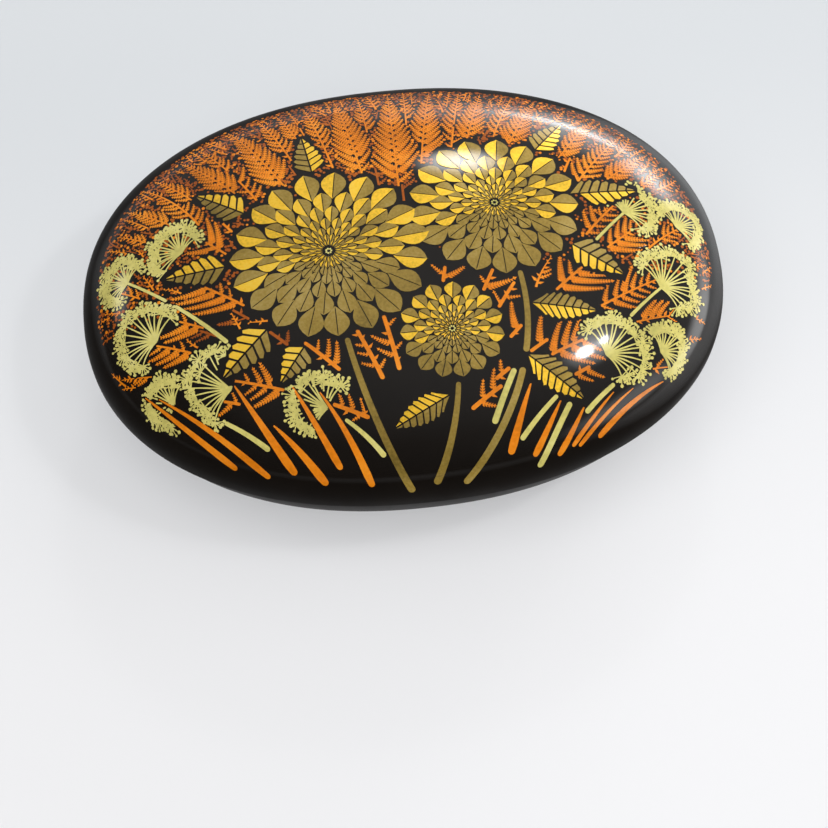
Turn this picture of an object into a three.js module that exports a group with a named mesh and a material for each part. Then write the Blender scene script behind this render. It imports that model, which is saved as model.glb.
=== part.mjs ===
// Oval trinket box with a domed lift-off lid: two lacquered shells, a locating collar glued into the base,
// velvet linings, a padded floor and felt underneath. Millimetres, +Z up, +X along the box.
// The origin is the middle of the foot, on the surface that the box stands on.
import * as THREE from "three";

// Outline and heights of the closed box
const LENGTH = 112;
const WIDTH = 79.5;
const OVAL_POWER = 2.2; // 2 is an ellipse, and more fills out the corners
const SEAM_HEIGHT = 21; // where the lid's rim lies
const SEAM_GAP = 0.2; // the hairline between the lid and the base
const LID_OVERHANG = 2; // how far the lid's rim stands out over the base, as a finger hold
const LID_BAND = 1.6; // straight stretch of the lid above the seam
const BASE_BAND = 2.5; // straight stretch of the base below it
const DOME_RISE = 17.4;
const DOME_POWER = 2.15;
const BOWL_POWER = 2.3;
const EDGE_EASE = 0.5; // rounding of the lacquered edges at the seam and the foot

// Foot
const FOOT_LENGTH = 80;
const FOOT_STEP = 1.2; // height of the straight foot below the bowl
const FOOT_RING = 3.6; // width of the ring that touches the table

// Shell walls
const LID_WALL = 3.2;
const BASE_WALL = 2.8;
const FLOOR_THICKNESS = 2.8;

// Locating collar, a ring glued inside the base that the lid slips over
const COLLAR_WALL = 2.2;
const COLLAR_RISE = 3.6; // above the seam
const COLLAR_DEPTH = 5; // below the seam
const COLLAR_LEAD = 0.6; // chamfer that guides the lid on
const LID_FIT = 0.35; // clearance between the collar and the lid
const GLUE_GAP = 0.3; // bond line behind every glued piece

// Velvet linings
const LINING_THICKNESS = 0.8;
const LINING_LIFT = 1; // from the collar's top to the edge of the lid's lining

// Padded floor: velvet drawn over wadding and down round the edge of a card
const CARD_THICKNESS = 1.2;
const WADDING_EDGE = 1.6; // thickness of the wadding at its edge
const WADDING_CROWN = 1.8; // how far the wadding's middle stands above its edge
const COVER_THICKNESS = 0.7;
const COVER_ROUND = 0.6; // rounding where the cover turns down
const PAD_CLEARANCE = 0.4;

// Felt in the foot's recess
const FELT_THICKNESS = 0.8;
const FELT_LIFT = 0.3; // keeps the felt off the table
const FELT_CLEARANCE = 0.4;

// Smoothness of the surfaces
const SEGMENTS = 60;
const DOME_STEPS = 10;
const BOWL_STEPS = 6;
const CROWN_STEPS = 3;
const EASE_STEPS = 2;

const finish = (color, roughness) => new THREE.MeshStandardMaterial({ color, roughness, metalness: 0 });
const lacquer = () => finish(0x0e0c0b, 0.08);
const velvet = () => finish(0x5a1218, 0.95);
const greyCard = () => finish(0x8a7a62, 0.9);
const whiteWadding = () => finish(0xd9d4c8, 1);
const blackFelt = () => finish(0x1b1d1b, 1);

// A ring is one oval at one height. wall gives the box's own outline, moved in by an inset.
const ring = (halfLength, halfWidth, z) => ({ halfLength, halfWidth, z });
const wall = (inset, z) => ring(LENGTH / 2 - inset, WIDTH / 2 - inset, z);
const scaled = (outline, share, z) => ring(outline.halfLength * share, outline.halfWidth * share, z);
const shrunk = (outline, inset, z) => ring(outline.halfLength - inset, outline.halfWidth - inset, z);
const raised = (outline, z) => shrunk(outline, 0, z);
const middle = (z) => ring(0, 0, z);

// Dome and bowl are swellings: each leaves a straight band at its spring and closes over its reach.
// Heights on the dome count from the lid's rim, and on the bowl from the table. The inside of the dome
// stays straight as far as the collar reaches.
const footShare = FOOT_LENGTH / (LENGTH - 2 * LID_OVERHANG);
const bowlSpring = SEAM_HEIGHT - BASE_BAND;
const bowlShare = (1 - footShare ** BOWL_POWER) ** (1 / BOWL_POWER);
const bowlReach = LID_OVERHANG + (bowlSpring - FOOT_STEP) / bowlShare;
const lidCrown = LID_BAND + DOME_RISE;
const DOME = { spring: LID_BAND, reach: DOME_RISE, up: 1, power: DOME_POWER };
const DOME_INSIDE = { spring: COLLAR_RISE, reach: lidCrown - COLLAR_RISE, up: 1, power: DOME_POWER };
const BOWL = { spring: bowlSpring, reach: bowlReach, up: -1, power: BOWL_POWER };

const poleOf = (swelling, inset) => swelling.spring + swelling.up * (swelling.reach - inset);

// How far round its quarter curve a swelling is at a height: 0 at the spring, a right angle at the pole.
function turnAt(swelling, inset, z) {
  const share = ((z - swelling.spring) * swelling.up) / (swelling.reach - inset);
  return Math.asin(Math.min(1, Math.max(0, share)) ** (swelling.power / 2));
}

function swellingRing(swelling, inset, turn) {
  const rise = (swelling.reach - inset) * Math.sin(turn) ** (2 / swelling.power);
  const share = Math.max(0, Math.cos(turn)) ** (2 / swelling.power);
  return scaled(wall(inset), share, swelling.spring + swelling.up * rise);
}

// Rings along a swelling, moved in by an inset, from one height towards its pole.
function swellingRings(swelling, inset, fromZ, toZ, steps) {
  const start = turnAt(swelling, inset, fromZ);
  const end = turnAt(swelling, inset, toZ);
  const rings = [];
  if ((fromZ - swelling.spring) * swelling.up < 0) {
    rings.push(wall(inset, fromZ));
  }
  for (let i = 0; i <= steps; i += 1) {
    rings.push(swellingRing(swelling, inset, start + ((end - start) * i) / steps));
  }
  return rings;
}

// A rounded edge, from the side of an outline to its end face at z, which looks up or down.
function easedEdge(outline, z, ease, up) {
  const rings = [];
  for (let i = 0; i <= EASE_STEPS; i += 1) {
    const turn = (i * Math.PI) / (2 * EASE_STEPS);
    rings.push(shrunk(outline, ease * (1 - Math.cos(turn)), z - up * ease * (1 - Math.sin(turn))));
  }
  return rings;
}

// A shallow crown inside an outline, from its edge to the middle.
function crownRings(outline, z, rise) {
  const rings = [];
  for (let i = 0; i <= CROWN_STEPS; i += 1) {
    const share = 1 - i / CROWN_STEPS;
    rings.push(scaled(outline, share, z + rise * (1 - share ** 2)));
  }
  return rings;
}

const ovalPart = (part) => Math.sign(part) * Math.abs(part) ** (2 / OVAL_POWER);

// Turns a profile of rings on a lathe, then presses each turned circle into its own oval.
function ovalTurning(rings) {
  const profile = rings.map(({ halfLength, z }) => new THREE.Vector2(halfLength, z));
  const geometry = new THREE.LatheGeometry(profile, SEGMENTS);
  const position = geometry.getAttribute("position");
  for (let i = 0; i < position.count; i += 1) {
    const { halfLength, halfWidth, z } = rings[i % rings.length];
    const angle = (Math.floor(i / rings.length) * 2 * Math.PI) / SEGMENTS;
    position.setXYZ(i, halfLength * ovalPart(Math.cos(angle)), halfWidth * ovalPart(Math.sin(angle)), z);
  }
  geometry.computeVertexNormals();
  return geometry;
}

function piece(name, material, rings, z = 0) {
  const mesh = new THREE.Mesh(ovalTurning(rings), material);
  mesh.name = name;
  mesh.position.z = z;
  return mesh;
}

// A flat sheet or card with square edges, standing on z.
function flatPiece(name, material, outline, thickness, z) {
  const rings = [middle(0), raised(outline, 0), raised(outline, thickness), middle(thickness)];
  return piece(name, material, rings, z);
}

// Lid, with heights from its rim
function lidShell() {
  return piece("lid_shell", lacquer(), [
    ...swellingRings(DOME_INSIDE, LID_WALL, 0, poleOf(DOME_INSIDE, LID_WALL), DOME_STEPS).reverse(),
    ...easedEdge(wall(0), 0, EDGE_EASE, -1).reverse(),
    ...swellingRings(DOME, 0, LID_BAND, poleOf(DOME, 0), DOME_STEPS),
  ]);
}

function lidLining() {
  const back = LID_WALL + GLUE_GAP;
  const face = back + LINING_THICKNESS;
  const edge = COLLAR_RISE + LINING_LIFT;
  return piece("lid_lining", velvet(), [
    ...swellingRings(DOME_INSIDE, face, edge, poleOf(DOME_INSIDE, face), DOME_STEPS).reverse(),
    ...swellingRings(DOME_INSIDE, back, edge, poleOf(DOME_INSIDE, back), DOME_STEPS),
  ]);
}

// Base, with heights from the table
const baseTop = SEAM_HEIGHT - SEAM_GAP;
const collarSeat = SEAM_HEIGHT - COLLAR_DEPTH;
const collarInset = LID_WALL + LID_FIT;
const baseInside = LID_OVERHANG + BASE_WALL;
const foot = scaled(wall(LID_OVERHANG), footShare);
const recess = shrunk(foot, FOOT_RING);
const recessDepth = FELT_LIFT + FELT_THICKNESS + GLUE_GAP;
const floorTop = recessDepth + FLOOR_THICKNESS;

function baseShell() {
  const rebate = collarInset - GLUE_GAP;
  return piece("base_shell", lacquer(), [
    middle(recessDepth),
    raised(recess, recessDepth),
    raised(recess, 0),
    ...easedEdge(foot, 0, EDGE_EASE, -1).reverse(),
    ...swellingRings(BOWL, LID_OVERHANG, bowlSpring, FOOT_STEP, BOWL_STEPS).reverse(),
    ...easedEdge(wall(LID_OVERHANG), baseTop, EDGE_EASE, 1),
    wall(rebate, baseTop),
    wall(rebate, collarSeat),
    ...swellingRings(BOWL, baseInside, collarSeat, floorTop, BOWL_STEPS),
    middle(floorTop),
  ]);
}

function locatingCollar() {
  const height = COLLAR_DEPTH + COLLAR_RISE - GLUE_GAP;
  const outside = wall(collarInset, 0);
  const inside = wall(collarInset + COLLAR_WALL, 0);
  const rings = [
    outside,
    wall(collarInset, height - COLLAR_LEAD),
    wall(collarInset + COLLAR_LEAD, height),
    raised(inside, height),
    inside,
    outside,
  ];
  return piece("locating_collar", lacquer(), rings, collarSeat + GLUE_GAP);
}

function undersideFelt() {
  return flatPiece("underside_felt", blackFelt(), shrunk(recess, FELT_CLEARANCE), FELT_THICKNESS, FELT_LIFT);
}

// Lining and padded floor inside the base
const liningBack = baseInside + GLUE_GAP;
const liningFace = liningBack + LINING_THICKNESS;
const padSeat = floorTop + GLUE_GAP;
const coverOutline = shrunk(swellingRing(BOWL, liningFace, turnAt(BOWL, liningFace, padSeat)), PAD_CLEARANCE);
const coverInside = shrunk(coverOutline, COVER_THICKNESS);
const cardOutline = shrunk(coverInside, GLUE_GAP);
const waddingSeat = CARD_THICKNESS + GLUE_GAP;
const coverEdge = waddingSeat + WADDING_EDGE + GLUE_GAP;

function wallLining() {
  const face = swellingRings(BOWL, liningFace, collarSeat, padSeat, BOWL_STEPS);
  const back = swellingRings(BOWL, liningBack, collarSeat, padSeat, BOWL_STEPS).reverse();
  return piece("wall_lining", velvet(), [...face.slice(-1), ...back, ...face]);
}

function floorCard() {
  return flatPiece("floor_card", greyCard(), cardOutline, CARD_THICKNESS, padSeat);
}

function padWadding() {
  const rings = [
    middle(0),
    raised(cardOutline, 0),
    ...crownRings(cardOutline, WADDING_EDGE, WADDING_CROWN),
  ];
  return piece("pad_wadding", whiteWadding(), rings, padSeat + waddingSeat);
}

function padCover() {
  const shoulder = shrunk(coverOutline, COVER_ROUND);
  const rings = [
    ...crownRings(coverInside, coverEdge, WADDING_CROWN).reverse(),
    raised(coverInside, 0),
    raised(coverOutline, 0),
    ...easedEdge(coverOutline, coverEdge + COVER_THICKNESS, COVER_ROUND, 1),
    ...crownRings(shoulder, coverEdge + COVER_THICKNESS, WADDING_CROWN).slice(1),
  ];
  return piece("pad_cover", velvet(), rings, padSeat);
}

const base = new THREE.Group();
base.add(baseShell(), locatingCollar(), undersideFelt());
base.add(wallLining(), floorCard(), padWadding(), padCover());

const lid = new THREE.Group();
lid.position.z = SEAM_HEIGHT;
lid.add(lidShell(), lidLining());

const trinketBox = new THREE.Group();
trinketBox.add(base, lid);

export default trinketBox;
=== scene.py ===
"""Looks of an oval lacquered trinket box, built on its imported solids.

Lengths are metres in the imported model's frame: +Z up, +X along the box, -Y towards the camera.
The print on the lid is drawn flat, in millimetres, and then laid on the dome.
"""

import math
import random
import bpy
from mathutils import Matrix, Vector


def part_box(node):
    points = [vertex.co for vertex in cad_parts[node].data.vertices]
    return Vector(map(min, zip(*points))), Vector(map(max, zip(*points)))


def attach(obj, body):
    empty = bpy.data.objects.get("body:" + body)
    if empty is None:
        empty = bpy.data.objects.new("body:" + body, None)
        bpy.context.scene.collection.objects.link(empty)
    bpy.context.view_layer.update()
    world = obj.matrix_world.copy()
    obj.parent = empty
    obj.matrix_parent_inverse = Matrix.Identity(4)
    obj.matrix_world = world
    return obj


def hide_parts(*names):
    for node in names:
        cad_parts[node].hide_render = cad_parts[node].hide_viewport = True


bl_info = {
    "name": "Oval Trinket Box",
    "version": (1, 0, 0),
    "blender": (4, 5, 0),
    "location": "View3D > Sidebar > Trinket Box",
    "description": "Builds an oval lacquered box with a printed domed lid on its packed solids",
    "category": "Object",
}

from typing import NamedTuple

import bpy
import numpy as np
from mathutils import Vector, noise

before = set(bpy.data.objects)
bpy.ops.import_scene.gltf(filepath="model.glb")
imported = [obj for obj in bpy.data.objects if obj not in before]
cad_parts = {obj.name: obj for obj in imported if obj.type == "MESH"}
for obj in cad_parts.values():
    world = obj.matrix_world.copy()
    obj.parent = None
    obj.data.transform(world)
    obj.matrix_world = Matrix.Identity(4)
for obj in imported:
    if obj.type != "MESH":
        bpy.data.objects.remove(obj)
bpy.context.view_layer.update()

MM = 0.001
LID_LOW, LID_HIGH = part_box("lid_shell")
_, BASE_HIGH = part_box("base_shell")
COLLAR_LOW, COLLAR_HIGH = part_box("locating_collar")
PAD_LOW, PAD_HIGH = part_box("pad_cover")
FELT_LOW, FELT_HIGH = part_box("underside_felt")

# Fineness: segments round the oval, and rings along each curve
SEGMENTS = 256
DOME_RINGS = 80
HOLLOW_RINGS = 40
BOWL_RINGS = 48
WALL_RINGS = 32
EASE_RINGS = 5
# Angles in degrees from which an edge is drawn sharp
HARD_EDGE = 38
CLOTH_EDGE = 60
# Rounding of the inside edges and of the felt
INSIDE_EASE = 0.3 * MM
REBATE_EASE = 0.2 * MM
COLLAR_EASE = 0.4 * MM
FELT_EASE = 0.15 * MM
# Layer of places that the bake uses
BAKE_MAP = "OFBake"


# Sizes and colours that a user would change


def length_value(name, description, default):
    return bpy.props.FloatProperty(
        name=name, description=description, default=default, min=0.0, precision=5, unit="LENGTH"
    )


def number_value(name, description, default):
    return bpy.props.FloatProperty(name=name, description=description, default=default, precision=3)


def angle_value(name, description, degrees):
    return bpy.props.FloatProperty(
        name=name, description=description, default=math.radians(degrees), subtype="ANGLE"
    )


def place_value(name, description, default):
    return bpy.props.FloatProperty(
        name=name, description=description, default=default, precision=5, unit="LENGTH"
    )


def colour_value(name, description, default):
    return bpy.props.FloatVectorProperty(
        name=name, description=description, default=default, size=3, min=0.0, max=1.0, subtype="COLOR"
    )


class ShellSizes(bpy.types.PropertyGroup):
    """Sizes of the lid, the base and the collar"""

    length: length_value("Length", "Length of the lid", 2 * LID_HIGH.x)
    width: length_value("Width", "Width of the lid", 2 * LID_HIGH.y)
    oval_power: number_value("Oval Power", "Fullness of the oval, 2 is an ellipse", 2.2)
    dome_power: number_value("Dome Power", "Fullness of the dome", 2.15)
    bowl_power: number_value("Bowl Power", "Fullness of the bowl", 2.3)
    lid_band: length_value("Lid Band", "Straight band below the dome", 1.6 * MM)
    bare_rim: length_value("Bare Rim", "Height above the lid's band without clear coat", 5.2 * MM)
    bare_back: length_value("Bare Back", "Further height without clear coat at the back", 3.4 * MM)
    coated_end: length_value("Coated End", "How much lower the coat reaches at the right end", 3.0 * MM)
    coat_edge: length_value("Coat Edge", "Height over which the clear coat thins out", 2.8 * MM)
    base_band: length_value("Base Band", "Straight band above the bowl", 2.5 * MM)
    lid_wall: length_value("Lid Wall", "Thickness of the lid", 3.2 * MM)
    base_wall: length_value("Base Wall", "Thickness of the bowl", 2.8 * MM)
    foot_step: length_value("Foot Step", "Height of the foot below the bowl", 1.2 * MM)
    foot_length: length_value("Foot Length", "Length of the foot", 80 * MM)
    foot_ring: length_value("Foot Ring", "Breadth of the ring that the box stands on", 3.6 * MM)
    recess: length_value("Recess", "Depth of the hollow inside the foot ring", 1.4 * MM)
    floor: length_value("Floor", "Thickness of the floor", 2.8 * MM)
    collar_wall: length_value("Collar Wall", "Thickness of the collar", 2.2 * MM)
    collar_rise: length_value("Collar Rise", "Height of the collar above the seam", 3.6 * MM)
    collar_lead: length_value("Collar Lead", "Chamfer on the collar", 0.6 * MM)
    glue_gap: length_value("Glue Gap", "Bond line between glued pieces", 0.3 * MM)
    ease: length_value("Edge Ease", "Rounding of the edges", 0.5 * MM)


class FinishValues(bpy.types.PropertyGroup):
    """Colours and gloss of the finishes"""

    lacquer: colour_value("Lacquer", "Ground colour of lid and base", (0.0065, 0.0048, 0.0036))
    rust: colour_value("Rust", "Dark orange ink", (0.36, 0.08, 0.005))
    orange: colour_value("Orange", "Orange ink", (0.8, 0.225, 0.007))
    straw: colour_value("Straw", "Pale ink", (0.68, 0.6, 0.17))
    # Gold and bronze are a bright and a dull foil; on the blossoms they also stand for one foil in painted
    # highlight and painted shade.
    gold: colour_value("Gold", "Bright foil", (0.98, 0.59, 0.035))
    bronze: colour_value("Bronze", "Dull foil", (0.35, 0.235, 0.045))
    velvet: colour_value("Velvet", "Lining and cushion", (0.12, 0.004, 0.009))
    felt: colour_value("Felt", "Felt under the foot", (0.012, 0.014, 0.012))
    card: colour_value("Card", "Card below the cushion", (0.26, 0.2, 0.13))
    lid_gloss: number_value("Lid Gloss", "Roughness of the lid's clear coat", 0.07)
    base_coat: number_value("Base Coat", "Share of clear coat on base and collar", 0.25)
    base_gloss: number_value("Base Gloss", "Roughness of that coat", 0.35)


class PrintValues(bpy.types.PropertyGroup):
    """How the print on the lid is laid out"""

    seed: bpy.props.IntProperty(name="Seed", description="Start of the random draws", default=11)
    film: length_value("Film", "Height of the lowest ink above the lacquer", 0.03 * MM)
    thickness: length_value("Thickness", "Thickness of each ink", 0.025 * MM)
    film_step: length_value("Film Step", "Height of each further ink above the last", 0.015 * MM)
    edge_share: number_value("Edge Share", "How far towards the rim the print reaches", 0.87)
    shift: number_value("Shift", "How far the print is moved towards the front, in millimetres", 3.2)


class LiningValues(bpy.types.PropertyGroup):
    """Velvet lining and cushion"""

    thickness: length_value("Thickness", "Thickness of the velvet", 0.8 * MM)
    lift: length_value("Lift", "Bare wall below the lid's lining", 1.0 * MM)
    pucker: length_value("Pucker", "How far the glued velvet waves", 0.09 * MM)
    fill: number_value("Fill", "How full the cushion is, from 0 to 1", 0.7)


class StageValues(bpy.types.PropertyGroup):
    """Floor, lamps and camera"""

    floor: colour_value("Floor", "Colour of the floor in front of the box", (0.88, 0.88, 0.895))
    # Painted shade: the floor gets a darker colour behind the box.
    floor_shaded_behind: colour_value("Floor Behind", "Colour of the floor behind the box", (0.7, 0.725, 0.75))
    elevation: angle_value("Elevation", "Camera's height above the horizon", 62.036)
    turn: angle_value("Turn", "Camera's turn round the box", -5.827)
    distance: length_value("Distance", "Camera's distance from the box", 0.34)
    aim_x: place_value("Aim X", "Where the camera looks, along the box", 0.253 * MM)
    aim_y: place_value("Aim Y", "Where the camera looks, across the box", -13.579 * MM)
    lens: bpy.props.FloatProperty(
        name="Lens", description="Focal length for a 36 mm sensor", default=83.53, unit="CAMERA"
    )
    floor_glow: number_value("Floor Glow", "Share of the floor's colour that needs no light", 0.4)
    far_glow: number_value("Far Glow", "Further share of it far from the lamps", 0.42)
    bright_side: angle_value("Bright Side", "Bearing of the bright side, from the back to the right", 45)
    front_level: number_value("Front Level", "Level of the room on its dark side", 0.06)
    top_level: number_value("Top Level", "Further light from overhead", 0.1)
    horizon_level: number_value("Horizon Level", "Least level all round the horizon", 0.88)
    back_level: number_value("Back Level", "Level of the room on its bright side", 0.45)


class TrinketBoxSettings(bpy.types.PropertyGroup):
    """All settings of the trinket box"""

    shell: bpy.props.PointerProperty(type=ShellSizes)
    finish: bpy.props.PointerProperty(type=FinishValues)
    art: bpy.props.PointerProperty(type=PrintValues)
    lining: bpy.props.PointerProperty(type=LiningValues)
    stage: bpy.props.PointerProperty(type=StageValues)


def settings():
    return bpy.context.scene.trinket_box


# The box's outline and the curves of its dome and bowl


class Ring(NamedTuple):
    """One oval at one height"""

    half_length: float
    half_width: float
    z: float

    def shrunk(self, inset, z):
        return Ring(self.half_length - inset, self.half_width - inset, z)

    def scaled(self, share, z):
        return Ring(self.half_length * share, self.half_width * share, z)


class Swelling(NamedTuple):
    """A quarter curve that leaves a straight band at its spring and closes over its reach"""

    spring: float
    reach: float
    up: int
    power: float

    def pole(self, inset):
        return self.spring + self.up * (self.reach - inset)

    def turn_at(self, inset, z):
        share = (z - self.spring) * self.up / (self.reach - inset)
        return math.asin(min(1.0, max(0.0, share)) ** (self.power / 2))

    def share_and_rise(self, turn):
        share = max(0.0, math.cos(turn)) ** (2 / self.power)
        return share, math.sin(turn) ** (2 / self.power)


class BoxShape:
    """Curves that the lid, the base and the linings follow"""

    def __init__(self, shell):
        self.half_length = shell.length / 2
        self.half_width = shell.width / 2
        self.power = shell.oval_power
        self.seam = LID_LOW.z
        self.crown = LID_HIGH.z
        self.overhang = LID_HIGH.x - BASE_HIGH.x
        dome_spring = self.seam + shell.lid_band
        collar_top = self.seam + shell.collar_rise
        bowl_spring = self.seam - shell.base_band
        self.foot_share = shell.foot_length / (shell.length - 2 * self.overhang)
        bowl_share = (1 - self.foot_share**shell.bowl_power) ** (1 / shell.bowl_power)
        bowl_reach = self.overhang + (bowl_spring - shell.foot_step) / bowl_share
        self.dome = Swelling(dome_spring, self.crown - dome_spring, 1, shell.dome_power)
        self.dome_inside = Swelling(collar_top, self.crown - collar_top, 1, shell.dome_power)
        self.bowl = Swelling(bowl_spring, bowl_reach, -1, shell.bowl_power)
        self.collar_seat = COLLAR_LOW.z - shell.glue_gap
        self.collar_inset = LID_HIGH.x - COLLAR_HIGH.x
        self.floor_top = shell.recess + shell.floor
        self.base_inside = self.overhang + shell.base_wall

    def wall(self, inset, z=0.0):
        return Ring(self.half_length - inset, self.half_width - inset, z)

    def swelling_rings(self, swelling, inset, from_z, to_z, steps):
        """Rings along a swelling, moved in by an inset, from one height towards its pole."""
        start = swelling.turn_at(inset, from_z)
        end = swelling.turn_at(inset, to_z)
        rings = []
        if (from_z - swelling.spring) * swelling.up < 0:
            rings.append(self.wall(inset, from_z))
        for step in range(steps + 1):
            share, rise = swelling.share_and_rise(start + (end - start) * step / steps)
            z = swelling.spring + swelling.up * rise * (swelling.reach - inset)
            rings.append(self.wall(inset).scaled(share, z))
        return rings

    def dome_points(self, x, y, lift):
        """Points and normals on the dome for flat print points, given in shares of the half extents."""
        power = self.power
        share = np.maximum((np.abs(x) ** power + np.abs(y) ** power) ** (1 / power), 1e-9)
        turns = np.linspace(math.pi / 2, 0, 400)
        tables = np.array([self.dome.share_and_rise(turn) for turn in turns])
        across, rise = tables[:, 0], tables[:, 1]
        mean_half = (self.half_length + self.half_width) / 2
        steps = np.hypot(np.diff(across) * mean_half, np.diff(rise) * self.dome.reach)
        run = np.concatenate([[0], np.cumsum(steps)])
        place = np.interp(share, run / run[-1], across)
        height = np.interp(share, run / run[-1], rise)
        px, py = x / share * place, y / share * place
        dome_power = self.dome.power
        slope = np.maximum(place, 1e-9) ** (dome_power - power)
        normal = np.stack(
            [
                slope * np.sign(px) * np.abs(px) ** (power - 1) / self.half_length,
                slope * np.sign(py) * np.abs(py) ** (power - 1) / self.half_width,
                height ** (dome_power - 1) / self.dome.reach,
            ],
            axis=1,
        )
        normal /= np.linalg.norm(normal, axis=1, keepdims=True)
        points = np.stack(
            [px * self.half_length, py * self.half_width, self.dome.spring + height * self.dome.reach],
            axis=1,
        )
        return points + normal * lift, normal


def eased_edge(outline, z, ease, up, steps=EASE_RINGS):
    """A rounded edge from the side of an outline to its end face at z.

    An inside edge has a negative ease.
    """
    rings = []
    for step in range(steps + 1):
        turn = step * math.pi / (2 * steps)
        rise = up * abs(ease) * (1 - math.sin(turn))
        rings.append(outline.shrunk(ease * (1 - math.cos(turn)), z - rise))
    return rings


def middle(z):
    return Ring(0.0, 0.0, z)


def between(first, last, steps):
    """Rings in even steps from one ring to another, without the first."""
    rings = []
    for step in range(1, steps + 1):
        rings.append(Ring(*(a + (b - a) * step / steps for a, b in zip(first, last))))
    return rings


def turned_piece(name, rings, power, closed=False):
    """A smooth mesh through oval rings. A ring of no length is a point.

    A closed profile joins its ends.
    """
    angles = np.arange(SEGMENTS) * 2 * math.pi / SEGMENTS
    cosine, sine = np.cos(angles), np.sin(angles)
    across = np.sign(cosine) * np.abs(cosine) ** (2 / power)
    along = np.sign(sine) * np.abs(sine) ** (2 / power)
    points, rows = [], []
    for ring in rings:
        first = len(points)
        if ring.half_length < 1e-6:
            points.append((0.0, 0.0, ring.z))
            rows.append([first] * SEGMENTS)
        else:
            outline = zip(ring.half_length * across, ring.half_width * along)
            points.extend((x, y, ring.z) for x, y in outline)
            rows.append(list(range(first, first + SEGMENTS)))
    count = len(rings) if closed else len(rings) - 1
    run = [0.0]
    for k in range(count):
        this, other = rings[k], rings[(k + 1) % len(rings)]
        run.append(run[-1] + math.hypot(other.half_length - this.half_length, other.z - this.z))
    faces, places = [], []
    for k in range(count):
        low, high = rows[k], rows[(k + 1) % len(rows)]
        v, w = run[k] / run[-1], run[k + 1] / run[-1]
        for i in range(SEGMENTS):
            j = (i + 1) % SEGMENTS
            u, t = i / SEGMENTS, (i + 1) / SEGMENTS
            corners = [(low[i], (u, v)), (low[j], (t, v)), (high[j], (t, w)), (high[i], (u, w))]
            if low[i] == low[j]:
                corners.pop(1)
            elif high[i] == high[j]:
                corners.pop(2)
            faces.append([corner for corner, _ in corners])
            places.extend(place for _, place in corners)
    return mesh_piece(name, points, faces, places)


def mesh_piece(name, points, faces, places=None):
    mesh = bpy.data.meshes.new(name)
    mesh.from_pydata([tuple(p) for p in points], [], faces)
    mesh.polygons.foreach_set("use_smooth", [True] * len(mesh.polygons))
    if places is not None:
        layer = mesh.uv_layers.new(name=BAKE_MAP)
        layer.data.foreach_set("uv", np.array(places, np.float32).ravel())
    mesh.update()
    piece = bpy.data.objects.new(name, mesh)
    bpy.context.scene.collection.objects.link(piece)
    return piece


def sharpen(piece, degrees=HARD_EDGE):
    piece.data.set_sharp_from_angle(angle=math.radians(degrees))


def waved(piece, depth, size):
    """Lets glued cloth wave a little, along its normals."""
    vertices = piece.data.vertices
    places = np.empty(3 * len(vertices), np.float32)
    ways = np.empty(3 * len(vertices), np.float32)
    vertices.foreach_get("co", places)
    vertices.foreach_get("normal", ways)
    spots = [Vector(place) / size for place in places.reshape(-1, 3)]
    waves = np.array([noise.noise(spot) + 0.5 * noise.noise(2.3 * spot) for spot in spots])
    vertices.foreach_set("co", places + ways * np.repeat(depth * waves, 3).astype(np.float32))
    piece.data.update()


# Finishes


def add_node(tree, kind, inputs=None, **attributes):
    """A node with its attributes set, and its inputs set or linked by name or number."""
    made = tree.nodes.new(kind)
    for name, value in attributes.items():
        setattr(made, name, value)
    for key, value in (inputs or {}).items():
        if isinstance(value, bpy.types.NodeSocket):
            tree.links.new(value, made.inputs[key])
        else:
            made.inputs[key].default_value = value
    return made


def new_group(name, inputs, outputs):
    """A shader node group with float inputs and outputs and its end nodes, or the one already made."""
    if name in bpy.data.node_groups:
        return bpy.data.node_groups[name], None, None
    group = bpy.data.node_groups.new(name, "ShaderNodeTree")
    for label, value in inputs.items():
        socket = group.interface.new_socket(name=label, in_out="INPUT", socket_type="NodeSocketFloat")
        socket.default_value = value
    for label in outputs:
        group.interface.new_socket(name=label, in_out="OUTPUT", socket_type="NodeSocketFloat")
    return group, group.nodes.new("NodeGroupInput"), group.nodes.new("NodeGroupOutput")


def noise_value(tree, place, scale, detail, roughness=0.5):
    made = add_node(
        tree,
        "ShaderNodeTexNoise",
        {"Vector": place, "Scale": scale, "Detail": detail, "Roughness": roughness},
    )
    return made.outputs["Fac"]


def math_value(tree, operation, first, second):
    return add_node(tree, "ShaderNodeMath", {0: first, 1: second}, operation=operation).outputs[0]


def object_place(tree):
    return add_node(tree, "ShaderNodeTexCoord").outputs["Object"]


def map_range(tree, value, low, high, least=0.0, most=1.0, smooth=False):
    """A value brought from one span to another and held at both ends."""
    span = {"Value": value, "From Min": low, "From Max": high, "To Min": least, "To Max": most}
    kind = "SMOOTHSTEP" if smooth else "LINEAR"
    return add_node(tree, "ShaderNodeMapRange", span, interpolation_type=kind).outputs["Result"]


def group_node(tree, group, values=None):
    return add_node(tree, "ShaderNodeGroup", values, node_tree=group)


def place_bump(tree, shader, height, strength, distance):
    """Lets a height shape a shader's normal."""
    bump = add_node(tree, "ShaderNodeBump", {"Strength": strength, "Distance": distance, "Height": height})
    tree.links.new(bump.outputs["Normal"], shader.inputs["Normal"])


def smears(tree, place, least, most):
    """Faint smears from wiping, between two values."""
    return map_range(tree, noise_value(tree, place, 70.0, 6.0, 0.65), 0.35, 0.72, least, most)


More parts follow.
